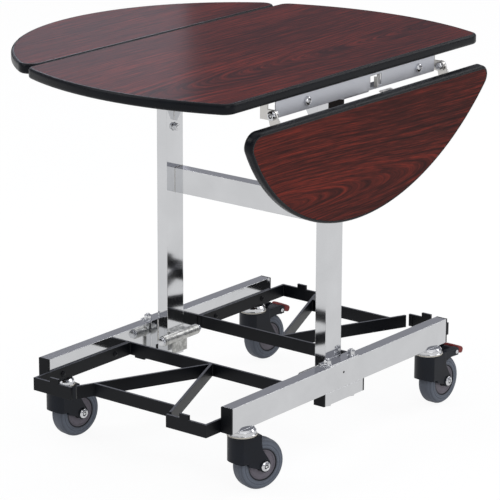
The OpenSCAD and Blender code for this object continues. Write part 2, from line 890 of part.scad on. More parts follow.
// Puts a caster part at caster i, turned as it stands
module at_caster(i) {
  translate([caster_xs[i], caster_ys[i], 0]) rotate([0, 0, caster_turns[i]]) children();
}

// Fixed half of a caster: bevelled cup under the runner and the stem that the fork turns on
module caster_mount() {
  rotate_extrude() polygon([
    [0, fork_top + seat], [ring_d / 2, fork_top + seat], [ring_d / 2, fork_top + 3.5],
    [ring_d / 2 - 1.5, fork_top + 4.5], [ring_d / 2 - 1.5, caster_top - 4],
    [ring_d / 2 - 5, caster_top], [0, caster_top]
  ]);
  translate([0, 0, fork_top - stem_below])
    cylinder(d = stem_d - bore_gap, h = stem_below + ring_h + stem_above);
}

module caster_mounts() {
  color(chrome_c) place() for (i = [0:3]) at_caster(i) caster_mount();
}

// Block of the two cheeks seen from the side: housing, cheeks down to the axle and axle bosses
module cheek_block() {
  half = housing_d / 2;
  translate([-cheek_out, 0, 0]) rotate([90, 0, 90]) linear_extrude(2 * cheek_out) polygon([
    [-half - 2, fork_top], [half + 1, fork_top], [half + 1, 96], [half + 3, 84], [trail + 11, 57],
    [trail + 5, 46], [trail - 7, 44], [-half + 8, housing_z - 3], [-half - 2, housing_z]
  ]);
  translate([0, trail, wheel_r]) rod_x(24, -cheek_out, cheek_out);
}

// Moulded fork: round housing with two cheeks and a cavity for the wheel
module fork() {
  difference() {
    union() {
      intersection() {
        cheek_block();
        union() {
          translate([0, 0, housing_z - 4]) cylinder(d = housing_d, h = fork_top - housing_z + 4);
          translate([-cheek_out, 0, 0]) cube([2 * cheek_out, wheel_d, fork_top]);
        }
      }
      children();
    }
    translate([0, trail, wheel_r]) rod_x(2 * cavity_r, -cheek_in, cheek_in);
    translate([-cheek_in, trail, 0]) cube([2 * cheek_in, wheel_d, wheel_r]);
    translate([0, trail, wheel_r]) rod_x(axle_d + bore_gap, -cheek_out - eps, cheek_out + eps);
    translate([0, 0, fork_top - stem_below - eps]) cylinder(d = stem_d + bore_gap, h = stem_below + 2 * eps);
  }
}

// Hood of a braked fork: two arms above the wheel that carry the pedal pin
module hood() {
  arm_in = 13.5;
  for (s = [0, 1]) mirror([s, 0, 0]) translate([arm_in, 0, 0]) rotate([90, 0, 90])
    linear_extrude(cheek_out - arm_in - 2) difference() {
      polygon([
        [housing_d / 2 - 6, fork_top], [pedal_pin_y + 2, fork_top + 0.5], [pedal_pin_y + 8.5, fork_top - 4],
        [pedal_pin_y + 7, pedal_pin_z - 8], [pedal_pin_y - 18, 97], [housing_d / 2 - 6, 90]
      ]);
      translate([pedal_pin_y, pedal_pin_z]) circle(d = pedal_pin_d + bore_gap);
    }
}

module front_left_fork() {
  color(nylon_c) place() at_caster(0) fork();
}

module front_right_fork() {
  color(nylon_c) place() at_caster(1) fork();
}

module back_left_fork() {
  color(nylon_c) place() at_caster(2) fork() hood();
}

module back_right_fork() {
  color(nylon_c) place() at_caster(3) fork() hood();
}

// Axle bolt with a domed head on one side and a nut on the other
module axle() {
  translate([0, trail, wheel_r]) {
    rod_x(axle_d - bore_gap, -cheek_out - nut_h - 1.5, cheek_out);
    translate([cheek_out, 0, 0]) rotate([0, 90, 0]) dome(2 * axle_d, dome_h);
    translate([-cheek_out, 0, 0]) rotate([0, -90, 0]) hex(axle_d + 5, nut_h);
  }
}

// Pin that the brake pedal turns on
module pedal_pin() {
  half = cheek_out - 2;
  translate([0, pedal_pin_y, pedal_pin_z]) {
    rod_x(pedal_pin_d - bore_gap, -half - 1.5, half + 1.5);
    both_x() rod_x(pedal_clip_d, half + seat / 2, half + seat / 2 + washer_t);
  }
}

module front_left_axle() {
  color(chrome_c) place() at_caster(0) axle();
}

module front_right_axle() {
  color(chrome_c) place() at_caster(1) axle();
}

module back_left_axle() {
  color(chrome_c) place() at_caster(2) {
    axle();
    pedal_pin();
  }
}

module back_right_axle() {
  color(chrome_c) place() at_caster(3) {
    axle();
    pedal_pin();
  }
}

// Hub: dished disc with a rim that the tyre grips and a boss on the axle
module hub() {
  r = hub_d / 2;
  boss = wheel_w / 2 + 1.7;
  translate([0, trail, wheel_r]) rotate([0, 90, 0]) rotate_extrude() polygon([
    [axle_d / 2 + bore_gap / 2, -boss], [9, -boss], [10, -wheel_w / 2 + 4], [r - 6, -wheel_w / 2 + 2.5],
    [r - 4, -wheel_w / 2 + 1], [r, -wheel_w / 2 + 1], [r, wheel_w / 2 - 1], [r - 4, wheel_w / 2 - 1],
    [r - 6, wheel_w / 2 - 2.5], [10, wheel_w / 2 - 4], [9, boss], [axle_d / 2 + bore_gap / 2, boss]
  ]);
}

// Tyre with rounded shoulders
module tyre() {
  round_r = 10;
  r = hub_d / 2 + edging_fit;
  translate([0, trail, wheel_r]) rotate([0, 90, 0]) rotate_extrude() union() {
    translate([r, -wheel_w / 2]) square([wheel_r - round_r - r, wheel_w]);
    translate([r, -wheel_w / 2 + round_r]) square([wheel_r - r, wheel_w - 2 * round_r]);
    intersection() {
      for (s = [-1, 1]) translate([wheel_r - round_r, s * (wheel_w / 2 - round_r)]) circle(r = round_r);
      translate([wheel_r - round_r - 1, -wheel_w / 2]) square([round_r + 1, wheel_w]);
    }
  }
}

module front_left_hub() {
  color(hub_c) place() at_caster(0) hub();
}

module front_left_tyre() {
  color(tyre_c) place() at_caster(0) tyre();
}

module front_right_hub() {
  color(hub_c) place() at_caster(1) hub();
}

module front_right_tyre() {
  color(tyre_c) place() at_caster(1) tyre();
}

module back_left_hub() {
  color(hub_c) place() at_caster(2) hub();
}

module back_left_tyre() {
  color(tyre_c) place() at_caster(2) tyre();
}

module back_right_hub() {
  color(hub_c) place() at_caster(3) hub();
}

module back_right_tyre() {
  color(tyre_c) place() at_caster(3) tyre();
}

pedal_w = 24;
tip_y = pedal_pin_y + 11;

// Pedal parts are drawn pressed, with the shoe against the tyre, and turned back to their rest
module released() {
  translate([0, pedal_pin_y, pedal_pin_z]) rotate([brake_angle, 0, 0])
    translate([0, -pedal_pin_y, -pedal_pin_z]) children();
}

// Brake pedal between the hood arms: lever on its pin with a curved shoe over the tyre
module pedal() {
  shoe_r = wheel_r + seat;
  difference() {
    union() {
      translate([-pedal_w / 2, 0, 0]) rotate([90, 0, 90]) linear_extrude(pedal_w) polygon([
        [pedal_pin_y - 14, pedal_pin_z + 5], [pedal_pin_y, pedal_pin_z + 6.5], [tip_y, pedal_pin_z + 3],
        [tip_y + 3, pedal_pin_z - 8], [pedal_pin_y + 8, pedal_pin_z - 16],
        [pedal_pin_y - 3, pedal_pin_z - 10], [pedal_pin_y - 14, pedal_pin_z]
      ]);
      translate([0, pedal_pin_y, pedal_pin_z]) rod_x(13, -pedal_w / 2, pedal_w / 2);
    }
    translate([0, trail, wheel_r]) rod_x(2 * shoe_r, -pedal_w, pedal_w);
    translate([0, pedal_pin_y, pedal_pin_z]) rod_x(pedal_pin_d + bore_gap, -pedal_w, pedal_w);
  }
}

// Coloured end of the pedal that the foot presses
module pedal_tip() {
  w = 2 * (cheek_out - 5);
  translate([-w / 2, 0, 0]) rotate([90, 0, 90]) linear_extrude(w) polygon([
    [tip_y, pedal_pin_z + 3], [tip_y + 12, pedal_pin_z - 3], [tip_y + 17, pedal_pin_z - 10],
    [tip_y + 13, pedal_pin_z - 14], [tip_y + 3, pedal_pin_z - 8]
  ]);
}

module back_left_pedal() {
  color(nylon_c) place() at_caster(2) released() pedal();
}

module back_left_pedal_tip() {
  color(red_c) place() at_caster(2) released() pedal_tip();
}

module back_right_pedal() {
  color(nylon_c) place() at_caster(3) released() pedal();
}

module back_right_pedal_tip() {
  color(red_c) place() at_caster(3) released() pedal_tip();
}

// ---------- Assembly ----------

centre_board();
centre_edging();
left_leaf_board();
left_leaf_edging();
right_leaf_board();
right_leaf_edging();
left_rail();
right_rail();
rail_bolts();
left_hinge_brackets();
right_hinge_brackets();
hinge_pins();
left_leaf_arms();
right_leaf_arms();
left_strike();
right_strike();
latch_pins();
left_latch();
right_latch();
left_post();
right_post();
gussets();
yoke();
yoke_bolts();
crossbar();
post_bolts();
left_runner();
right_runner();
runner_caps();
saddles();
long_bolts();
long_bolt_nuts();
spacer_tubes();
spacer_caps();
clamp_barrels();
barrel_bolts();
front_rack();
back_rack();
rack_bolts();
caster_mounts();
front_left_fork();
front_left_axle();
front_left_hub();
front_left_tyre();
front_right_fork();
front_right_axle();
front_right_hub();
front_right_tyre();
back_left_fork();
back_left_axle();
back_left_hub();
back_left_tyre();
back_left_pedal();
back_left_pedal_tip();
back_right_fork();
back_right_axle();
back_right_hub();
back_right_tyre();
back_right_pedal();
back_right_pedal_tip();
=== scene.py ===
"""Room service table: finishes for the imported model, with its welds, bolt sockets, threads, wheel rings and
pedal pads."""
import json
import math
from functools import partial

import bmesh
import bpy
import numpy as np
from mathutils import Matrix, Vector


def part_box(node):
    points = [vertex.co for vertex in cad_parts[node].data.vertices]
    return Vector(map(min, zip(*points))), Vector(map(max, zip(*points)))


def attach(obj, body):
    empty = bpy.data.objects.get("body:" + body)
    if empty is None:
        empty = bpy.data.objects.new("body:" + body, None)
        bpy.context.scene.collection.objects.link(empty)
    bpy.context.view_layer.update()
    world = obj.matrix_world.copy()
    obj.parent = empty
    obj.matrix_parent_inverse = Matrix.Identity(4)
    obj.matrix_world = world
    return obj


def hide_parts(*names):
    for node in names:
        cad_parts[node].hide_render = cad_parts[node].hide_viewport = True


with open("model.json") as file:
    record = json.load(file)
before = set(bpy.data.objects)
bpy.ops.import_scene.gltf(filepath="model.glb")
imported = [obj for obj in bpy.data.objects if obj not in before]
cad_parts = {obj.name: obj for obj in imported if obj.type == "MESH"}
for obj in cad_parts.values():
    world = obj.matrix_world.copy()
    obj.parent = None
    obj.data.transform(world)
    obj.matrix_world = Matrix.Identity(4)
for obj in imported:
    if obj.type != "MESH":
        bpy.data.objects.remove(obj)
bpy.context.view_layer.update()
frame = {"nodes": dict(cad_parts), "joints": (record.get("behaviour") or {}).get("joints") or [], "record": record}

MM = 0.001
nodes = frame["nodes"]
joints = {joint["name"]: joint for joint in frame["joints"]}
CASTERS = ("front_left", "front_right", "back_left", "back_right")


# ---------- small helpers ----------

def linear(code):
    """sRGB hex to a linear RGBA colour."""
    parts = [int(code[i:i + 2], 16) / 255 for i in (1, 3, 5)]
    return tuple(p / 12.92 if p <= 0.04045 else ((p + 0.055) / 1.055) ** 2.4 for p in parts) + (1.0,)


def add(tree, kind, inputs=None, stops=(), **settings):
    """Adds one shader node with its settings, values and links, and a ramp's colour stops, which are
    (place, hex). It returns the node's outputs."""
    made = tree.nodes.new("ShaderNode" + kind)
    for name, value in settings.items():
        setattr(made, name, value)
    for socket, value in (inputs or {}).items():
        if isinstance(value, bpy.types.NodeSocket):
            tree.links.new(value, made.inputs[socket])
        else:
            made.inputs[socket].default_value = value
    if stops:
        band = made.color_ramp.elements
        while len(band) < len(stops):
            band.new(0.5)
        for element, (place, code) in zip(band, stops):
            element.position = place
            element.color = linear(code)
    return made.outputs


def begin(name):
    """A new material with an empty tree, the function that adds nodes to it, and its Object coordinates."""
    material = bpy.data.materials.new(name)
    material.use_nodes = True
    tree = material.node_tree
    tree.nodes.clear()
    put = partial(add, tree)
    return material, put, put("TexCoord")["Object"]


def weighted(put, offset, terms):
    """The sum of offset and of each value times its weight."""
    total = offset
    for value, weight in terms:
        total = put("Math", {0: value, 1: weight, 2: total}, operation="MULTIPLY_ADD")[0]
    return total


def streaked(put, coords, scales, detail=2.0, rough=0.5, warp=0.0):
    """Noise that is drawn out: it has its own number of repeats per metre along each axis."""
    scaled = put("Mapping", {"Vector": coords, "Scale": scales}, vector_type="POINT")[0]
    return put("TexNoise", {"Vector": scaled, "Scale": 1.0, "Detail": detail, "Roughness": rough,
                            "Distortion": warp})["Fac"]


def relief(put, height, depth_mm, strength=1.0, edge_mm=0.0):
    """Relief of a height field over faces whose sharp edges are shaded as rounds of radius edge_mm."""
    inputs = {"Height": height, "Distance": depth_mm * MM, "Strength": strength}
    if edge_mm:
        inputs["Normal"] = put("Bevel", {"Radius": edge_mm * MM}, samples=6)[0]
    return put("Bump", inputs)[0]


# ---------- materials ----------

WOOD = [(0.34, "#2b1514"), (0.46, "#451d1a"), (0.54, "#5d251f"), (0.66, "#8a3226")]
BACKING_SHEET = "#2a211e"
# the printed figure, in repeats per metre across and along the grain: the rings wander over 300 mm and lie
# 7 mm apart, streaks are 3 by 110 mm and clouds 100 by 670 mm; pores are drawn 1.2 by 42 mm, coarser than
# real ones, which would not show; WANDER is the rings' sway in metres, and DRAWN_OUT what is left of a
# distance along the grain
WANDER_SCALE = (3.4, 1.2, 0.0)
RING_SCALE = 150.0
STREAK_SCALE = (330.0, 9.0, 0.0)
PORE_SCALE = (820.0, 24.0, 0.0)
CLOUD_SCALE = (10.0, 1.5, 0.0)
WANDER = 0.055
DRAWN_OUT = 0.085


def laminate(name, centre, turn, bottom, heart):
    """High-pressure laminate printed as mahogany and pressed satin: a soft sheen over red and near-black
    streaks that run along the hinge line. Below bottom it is the brown backing sheet."""
    material, put, coords = begin(name)
    board = put("Mapping", {"Vector": coords, "Location": centre, "Rotation": turn},
                vector_type="TEXTURE")[0]
    point = put("SeparateXYZ", {"Vector": board})
    # growth rings: distance from the heart of the figure, with the grain direction shrunk, so that the
    # rings close in one long cathedral there and run straight elsewhere
    wander = streaked(put, board, WANDER_SCALE)
    swayed = put("Math", {0: wander, 1: WANDER, 2: point["X"]}, operation="MULTIPLY_ADD")[0]
    across = put("Math", {0: swayed, 1: heart[0] + WANDER / 2}, operation="SUBTRACT")[0]
    from_heart = put("Math", {0: point["Y"], 1: heart[1]}, operation="SUBTRACT")[0]
    along = put("Math", {0: from_heart, 1: DRAWN_OUT}, operation="MULTIPLY")[0]
    along_squared = put("Math", {0: along, 1: along}, operation="MULTIPLY")[0]
    squared = put("Math", {0: across, 1: across, 2: along_squared}, operation="MULTIPLY_ADD")[0]
    field = put("Math", {0: squared}, operation="SQRT")[0]
    rings = put("TexNoise", {"W": field, "Scale": RING_SCALE, "Detail": 3.0, "Roughness": 0.65},
                noise_dimensions="1D")["Fac"]
    on_rings = put("CombineXYZ", {"X": field, "Y": point["Y"]})[0]
    streaks = streaked(put, on_rings, STREAK_SCALE, 4.0, 0.66, 0.35)
    pores = streaked(put, on_rings, PORE_SCALE, 2.0, 0.6)
    clouds = streaked(put, board, CLOUD_SCALE)
    # the weights keep the sum's middle near 0.5, where the ramp turns from dark to red
    figure = weighted(put, -0.215, [(rings, 0.3), (streaks, 0.58), (pores, 0.3), (clouds, 0.25)])
    face = put("ValToRGB", {"Fac": figure}, stops=WOOD)["Color"]
    below = put("Math", {0: point["Z"], 1: bottom + 0.3 * MM}, operation="LESS_THAN")[0]
    colour = put("MixRGB", {"Fac": below, "Color1": face, "Color2": linear(BACKING_SHEET)})[0]
    shader = put("BsdfPrincipled", {
        "Base Color": colour, "Specular IOR Level": 0.0,
        "Roughness": put("MapRange", {"Value": streaks, "To Min": 0.30, "To Max": 0.42})[0],
        "Coat Weight": 0.2, "Coat Roughness": 0.22, "Coat IOR": 1.5, "Sheen Weight": 0.14,
        "Sheen Roughness": 0.28, "Sheen Tint": linear("#d8dcf4"), "Normal": relief(put, pores, 0.03, 0.5)})
    put("OutputMaterial", {"Surface": shader[0]})
    return material


# more scales, in repeats per metre: handling marks on moulded pieces are 45 mm wide, a belt's lines 170 mm
# long, smears on plating 110 mm wide, flow marks on a casting 8 mm, the dust on a wheel 17 mm and its
# rubber's grain 0.7 mm; the functions take the grain of other pieces and the spacing of a belt's lines in
# mm, all several times coarser than real ones, which would not show
HANDLING_SCALE = 22.0
LINE_SCALE = 6.0
SMEAR_SCALE = 9.0
FLOW_SCALE = 120.0
WHEEL_DUST_SCALE = 60.0
RUBBER_GRAIN_SCALE = 1400.0
# how far roughness strays over a piece and over a wheel, how level a face is that gets the pale painted
# highlight, and the round of a steel edge
PATCHY, WHEEL_PATCHY = 0.06, 0.08
LEVEL = 0.9
STEEL_EDGE_MM = 1.2


def plain(name, code, rough, grain_mm, depth_mm, specular=0.3, tint=None, edge_mm=0.0, dust_and_highlight=None):
    """A moulded, coated or rubber surface: one colour with faint clouding and the grain of its finish. Where the
    last argument is a colour, it is painted in patches on the faces that look up, as a painted highlight."""
    material, put, coords = begin(name)
    clouds = put("TexNoise", {"Vector": coords, "Scale": HANDLING_SCALE, "Detail": 3.0})["Fac"]
    grain = put("TexNoise", {"Vector": coords, "Scale": 1000.0 / grain_mm, "Detail": 2.0,
                             "Roughness": 0.6})["Fac"]
    both = weighted(put, 0.0, [(grain, 0.5), (clouds, 0.5)])
    colour = put("ValToRGB", {"Fac": both}, stops=[(0.35, code), (0.65, tint or code)])["Color"]
    # a patchy pale colour on the faces that look up: a painted highlight
    if dust_and_highlight:
        normal = put("TexCoord")["Normal"]
        upward = put("SeparateXYZ", {"Vector": normal})["Z"]
        flat = put("Math", {0: upward, 1: LEVEL}, operation="GREATER_THAN")[0]
        amount = put("MapRange", {"Value": clouds, "To Min": 0.5, "To Max": 1.0})[0]
        painted_top_highlight = put("Math", {0: flat, 1: amount}, operation="MULTIPLY")[0]
        colour = put("MixRGB", {"Fac": painted_top_highlight, "Color1": colour, "Color2": linear(dust_and_highlight)})[0]
    shader = put("BsdfPrincipled", {
        "Base Color": colour, "Specular IOR Level": specular,
        "Roughness": put("MapRange", {"Value": both, "To Min": rough - PATCHY, "To Max": rough + PATCHY})[0],
        "Normal": relief(put, grain, depth_mm, edge_mm=edge_mm)})
    put("OutputMaterial", {"Surface": shader[0]})
    return material


def plated(name, code, tint, rough, along, line_mm, depth_mm, metallic=1.0):
    """Plated steel, polished or brushed: fine lines along one axis from the belt that finished it."""
    material, put, coords = begin(name)
    across = 1000.0 / line_mm
    lines = streaked(put, coords, [LINE_SCALE if axis == along else across for axis in "XYZ"], 2.0, 0.6)
    smear = put("TexNoise", {"Vector": coords, "Scale": SMEAR_SCALE, "Detail": 3.0, "Roughness": 0.6,
                             "Distortion": 0.5})["Fac"]
    level = weighted(put, 0.0, [(lines, 0.5), (smear, 0.5)])
    shader = put("BsdfPrincipled", {
        "Base Color": put("ValToRGB", {"Fac": smear}, stops=[(0.3, code), (0.7, tint)])["Color"],
        "Metallic": metallic,
        "Roughness": put("MapRange", {"Value": level, "To Min": rough * 0.7, "To Max": rough * 1.35})[0],
        "Normal": relief(put, weighted(put, lines, [(smear, 3.0)]), depth_mm, 0.35, STEEL_EDGE_MM)})
    put("OutputMaterial", {"Surface": shader[0]})
    return material


def cast(name, code, tint, rough, pit_mm, depth_mm):
    """Cast metal: blotchy in tone, with shallow pits all over."""
    material, put, coords = begin(name)
    blotch = put("TexNoise", {"Vector": coords, "Scale": FLOW_SCALE, "Detail": 3.0, "Roughness": 0.6})["Fac"]
    pits = put("TexNoise", {"Vector": coords, "Scale": 1000.0 / pit_mm, "Detail": 3.0,
                            "Roughness": 0.6})["Fac"]
    shader = put("BsdfPrincipled", {
        "Base Color": put("ValToRGB", {"Fac": blotch}, stops=[(0.35, code), (0.65, tint)])["Color"],
        "Metallic": 1.0,
        "Roughness": put("MapRange", {"Value": pits, "To Min": rough * 0.6, "To Max": rough * 1.4})[0],
        "Normal": relief(put, pits, depth_mm, 0.8)})
    put("OutputMaterial", {"Surface": shader[0]})
    return material


WHEEL_R = 50 * MM


def ringed(name, wheel, stops, rough, tint, most_dust):
    """Wheel parts: colour bands at shares of the wheel's radius, some of them painted shade and painted
    highlight, under a bloom of dust.
    """
    joint = joints[wheel + "_spin"]
    axis = joint["axis"]
    turn = (0, 0, math.atan2(axis[1], axis[0]))
    material, put, coords = begin(name)
    own = put("Mapping", {"Vector": coords, "Location": joint["pos_m"], "Rotation": turn},
              vector_type="TEXTURE")[0]
    point = put("SeparateXYZ", {"Vector": own})
    spoke = put("CombineXYZ", {"Y": point["Y"], "Z": point["Z"]})[0]
    radius = put("VectorMath", {0: spoke}, operation="LENGTH")["Value"]
    share = put("Math", {0: radius, 1: 1 / WHEEL_R}, operation="MULTIPLY")[0]
    bands = put("ValToRGB", {"Fac": share}, stops=stops)["Color"]
    clouds = put("TexNoise", {"Vector": own, "Scale": WHEEL_DUST_SCALE, "Detail": 4.0,
                              "Roughness": 0.65})["Fac"]
    grain = put("TexNoise", {"Vector": own, "Scale": RUBBER_GRAIN_SCALE, "Detail": 2.0,
                             "Roughness": 0.6})["Fac"]
    dust_and_highlight = put("MapRange", {"Value": clouds, "To Min": 0.0, "To Max": most_dust})[0]
    low, high = rough - WHEEL_PATCHY, rough + WHEEL_PATCHY
    shader = put("BsdfPrincipled", {
        "Base Color": put("MixRGB", {"Fac": dust_and_highlight, "Color1": bands, "Color2": linear(tint)})[0],
        "Roughness": put("MapRange", {"Value": clouds, "To Min": low, "To Max": high})[0],
        "Specular IOR Level": 0.3, "Normal": relief(put, grain, 0.06, 0.8)})
    put("OutputMaterial", {"Surface": shader[0]})
    return material


hinge = {side: joints[side + "_leaf_hinge"]["pos_m"] for side in ("left", "right")}
hang = math.radians(joints["right_leaf_hinge"]["range_deg"][1])
board_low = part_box("centre_board")[0]
under = board_low.z - hinge["left"][2]

looks = {
    # extruded vinyl: blue-black, with one narrow highlight along its round
    "edging": plain("pvc_edge_moulding", "#06090f", 0.28, 1.4, 0.012, 0.18, tint="#0b1018", edge_mm=8.0),
    # chrome: neutral and mirror-like, with a slight waviness in long reflections
    "chrome": plated("chrome_plated_steel", "#dadbdd", "#e3e4e6", 0.075, "Z", 0.9, 0.004),
    # zinc: pale, a little blue, with soft streaks along the sheet
    "satin_steel": plated("zinc_plated_sheet", "#e2e4ec", "#eceef4", 0.42, "Y", 0.7, 0.02, metallic=0.5),
    # powder coat: black with a fine pebble that breaks up the highlights, and a patchy pale grey painted
    # highlight on the faces that look up
    "black_steel": plain("black_powder_coat", "#07090e", 0.4, 1.3, 0.05, 0.22, tint="#0d1016",
                         edge_mm=1.0, dust_and_highlight="#6c6e77"),
    # polyethylene: moulded caps, black and duller than the coat round them
    "black_plastic": plain("black_polyethylene", "#0b0d11", 0.5, 0.8, 0.03, 0.2, tint="#111419"),
    # glass-filled nylon: dark blue-grey, satin, with mould grain
    "fork_nylon": plain("glass_filled_nylon", "#0d1119", 0.38, 0.7, 0.04, 0.26, tint="#141a25",
                        edge_mm=2.4),
    # dyed nylon: a dull brick red, the one warm colour on the frame
    "red_plastic": plain("red_nylon", "#7d2826", 0.42, 0.8, 0.03, 0.3, tint="#903733"),
}
# chrome on the runners and the crossbar: the same mirror, with its belt lines along the runners
runner_steel = plated("chrome_plated_runner", "#dadbdd", "#e3e4e6", 0.085, "Y", 0.9, 0.005)
# stampings come straight from the press, so they are duller and warmer than the tubes
stamped_steel = plated("zinc_plated_stamping", "#d9d7d3", "#e6e4e0", 0.3, "Y", 0.8, 0.03)
# the clamp barrels are castings: their pitted skin breaks the light into small bright and dark spots
cast_zinc = cast("zinc_die_casting", "#a9a9a6", "#d6d6d3", 0.36, 4.2, 0.9)
# undyed nylon: a thin ivory line between swivel cup and fork
seal_nylon = plain("natural_nylon_seal", "#cfc9bb", 0.45, 0.8, 0.02, 0.4, tint="#dad5c9")
# rubber at the bottom of a moulded groove: nearly black, because little light gets there
groove_black = plain("black_wheel_groove", "#121419", 0.55, 0.8, 0.03, 0.2, tint="#181a20")
# the floor of a bolt's socket: a near-black disc of painted shade, so that the recess is seen as a hole
socket_shade = plain("painted_socket_shade", "#15161a", 0.4, 0.8, 0.03, 0.4, tint="#1d1f24")
# each board is cut from its own sheet, so each has its own figure, round a heart at the last two numbers
centre_laminate = laminate("mahogany_laminate", (0.0, 0.0, 0.0), (0, 0, 0), board_low.z, (0.21, 0.52))
leaf_laminate = {
    "left": laminate("mahogany_laminate_left", hinge["left"], (0, 0, 0), under, (-0.36, 0.2)),
    "right": laminate("mahogany_laminate_right", hinge["right"], (0, hang, 0), under, (0.172, -0.36)),
}
# grey rubber: matt and blue-grey, with painted shade in dark rings and painted highlight in pale rings on
# its side walls by the moulded steps, and painted shade where it meets the hub; places are shares of the
# wheel's radius
TYRE_BANDS = [(0.62, "#14161a"), (0.65, "#5f6570"), (0.74, "#6e7581"), (0.77, "#4b505a"),
              (0.80, "#6a717d"), (0.90, "#5d636e"), (0.93, "#494e57"), (0.95, "#5d636e"), (1.0, "#555a64")]
# grey nylon: a little warmer and smoother than the tyre, with painted shade where the two meet
HUB_BANDS = [(0.0, "#7d7881"), (0.50, "#77727b"), (0.56, "#6d6871"), (0.59, "#2a2b30"),
             (0.62, "#121317")]
STAMPED = ("left_hinge_brackets", "right_hinge_brackets", "left_leaf_arms", "right_leaf_arms",
           "left_latch", "right_latch", "left_strike", "right_strike")
tyre_looks = {}

for part in frame["record"]["subparts"]:
    name, slot = part["node"], part["material_slot"]
    wheel = name.rsplit("_", 1)[0]
    if slot == "laminate":
        look = leaf_laminate.get(name.split("_")[0], centre_laminate)
    elif slot == "tyre":
        look = ringed("grey_rubber_" + wheel, wheel, TYRE_BANDS, 0.5, "#8b909b", 0.3)
        tyre_looks[wheel] = look
    elif slot == "hub":
        look = ringed("grey_nylon_" + wheel, wheel, HUB_BANDS, 0.42, "#8b8790", 0.15)
    elif "runner" in name and slot == "chrome" or name == "crossbar":
        look = runner_steel
    elif name in STAMPED:
        look = stamped_steel
    elif name == "clamp_barrels":
        look = cast_zinc
    else:
        look = looks[slot]
    mesh = nodes[name].data
    mesh.materials.clear()
    mesh.materials.append(look)


# ---------- surfaces ----------

def faces_of(rows, columns, loop_rows, loop_columns):
    """Quads of a grid of points, closed over its rows or columns where that is asked."""
    i, j = np.meshgrid(np.arange(rows if loop_rows else rows - 1),
                       np.arange(columns if loop_columns else columns - 1), indexing="ij")
    down, right = (i + 1) % rows, (j + 1) % columns
    return np.stack([i * columns + j, i * columns + right, down * columns + right, down * columns + j],
                    axis=-1).reshape(-1, 4)


def square_to(axis):
    """A unit axis with two unit vectors square to it and to each other."""
    axis = np.array(axis, float)
    axis /= np.linalg.norm(axis)
    side = np.cross(axis, (0, 0, 1) if abs(axis[2]) < 0.9 else (1, 0, 0))
    side /= np.linalg.norm(side)
    return axis, side, np.cross(axis, side)


TURN = np.linspace(0, 2 * np.pi, 36, endpoint=False)


def turned(origin, axis, radius, along, loop=False):
    """Revolution about an axis, over the angles of TURN: radius is a row of numbers, or rows by angles, and
    along is the height of each row on the axis."""
    axis, side, other = square_to(axis)
    rows = np.asarray(radius, float).reshape(len(along), -1)
    radius = np.broadcast_to(rows, (len(along), TURN.size))
    spoke = np.cos(TURN)[:, None] * side + np.sin(TURN)[:, None] * other
    rise = np.asarray(along, float)[:, None, None] * axis
    points = np.array(origin) + radius[..., None] * spoke + rise
    return points.reshape(-1, 3), faces_of(len(along), TURN.size, loop, True)


def ring(origin, axis, radius, half_width, half_height):
    """Ring of oval section: radius + half_width cos t, and half_height sin t along the axis."""
    t = np.linspace(0, 2 * np.pi, 12, endpoint=False)
    across = (radius + half_width * np.cos(t)) * MM
    return turned(origin, axis, across, half_height * np.sin(t) * MM, True)


DOME_ROWS = 9


def socket_head(origin, axis, radius, height, socket, depth):
    """Domed head with a hexagon recess: z = height sqrt(1 - 0.75 (r/radius)^2) down to the recess's edge,
    whose radius over the angle is that of a hexagon; then its wall, and its floor to the middle."""
    hexagon = socket / np.cos((TURN + np.pi / 6) % (np.pi / 3) - np.pi / 6)
    share = np.linspace(0, 1, DOME_ROWS)[:, None]
    dome_r = radius * (1 - share) + hexagon * share
    dome_z = height * np.sqrt(1 - 0.75 * (np.linspace(radius, socket, DOME_ROWS) / radius) ** 2)
    middle, rim = np.zeros((1, TURN.size)), np.full((1, TURN.size), radius)
    rows = np.vstack([middle, rim, dome_r, hexagon[None], middle])
    along = np.concatenate([[0, 0], dome_z, [dome_z[-1] - depth, dome_z[-1] - depth]])
    return turned(origin, axis, rows * MM, along * MM)


THREAD_DEPTH = 0.3
ROWS_PER_PITCH = 8


def thread(origin, axis, radius, pitch, length):
    """Screw thread: r = radius + THREAD_DEPTH cos(2 pi z / pitch - angle), closed at both ends."""
    z = np.linspace(0, length, max(ROWS_PER_PITCH, int(length / pitch * ROWS_PER_PITCH)))
    wave = radius + THREAD_DEPTH * np.cos(2 * np.pi * z[:, None] / pitch - TURN)
    middle = np.zeros((1, TURN.size))
    rows = np.vstack([middle, wave, middle])
    return turned(origin, axis, rows * MM, np.concatenate([[0], z, [length]]) * MM)


RIPPLE = 2.2
RIPPLE_DEPTH = 0.16
ROWS_PER_RIPPLE = 5


def bead(start, finish, radius, ripple=RIPPLE):
    """Weld bead along a line: r = radius (1 + RIPPLE_DEPTH sin(2 pi s / ripple)), drawn in to nothing at its
    two ends by sqrt(1 - |2 s - 1|^24), with s from 0 to 1 there."""
    start, finish = np.array(start, float), np.array(finish, float)
    length = np.linalg.norm(finish - start)
    axis, side, other = square_to(finish - start)
    s = np.linspace(0, 1, int(length / (ripple * MM) * ROWS_PER_RIPPLE) + 4)
    turn = np.linspace(0, 2 * np.pi, 10, endpoint=False)
    ends = np.sqrt(np.clip(1 - np.abs(2 * s - 1) ** 24, 0, 1))
    wave = np.sin(2 * np.pi * s * length / (ripple * MM))
    size = radius * MM * ends * (1 + RIPPLE_DEPTH * wave)
    spoke = np.cos(turn)[:, None] * side + np.sin(turn)[:, None] * other
    points = start + (s * length)[:, None, None] * axis + size[:, None, None] * spoke
    return points.reshape(-1, 3), faces_of(s.size, turn.size, False, True)


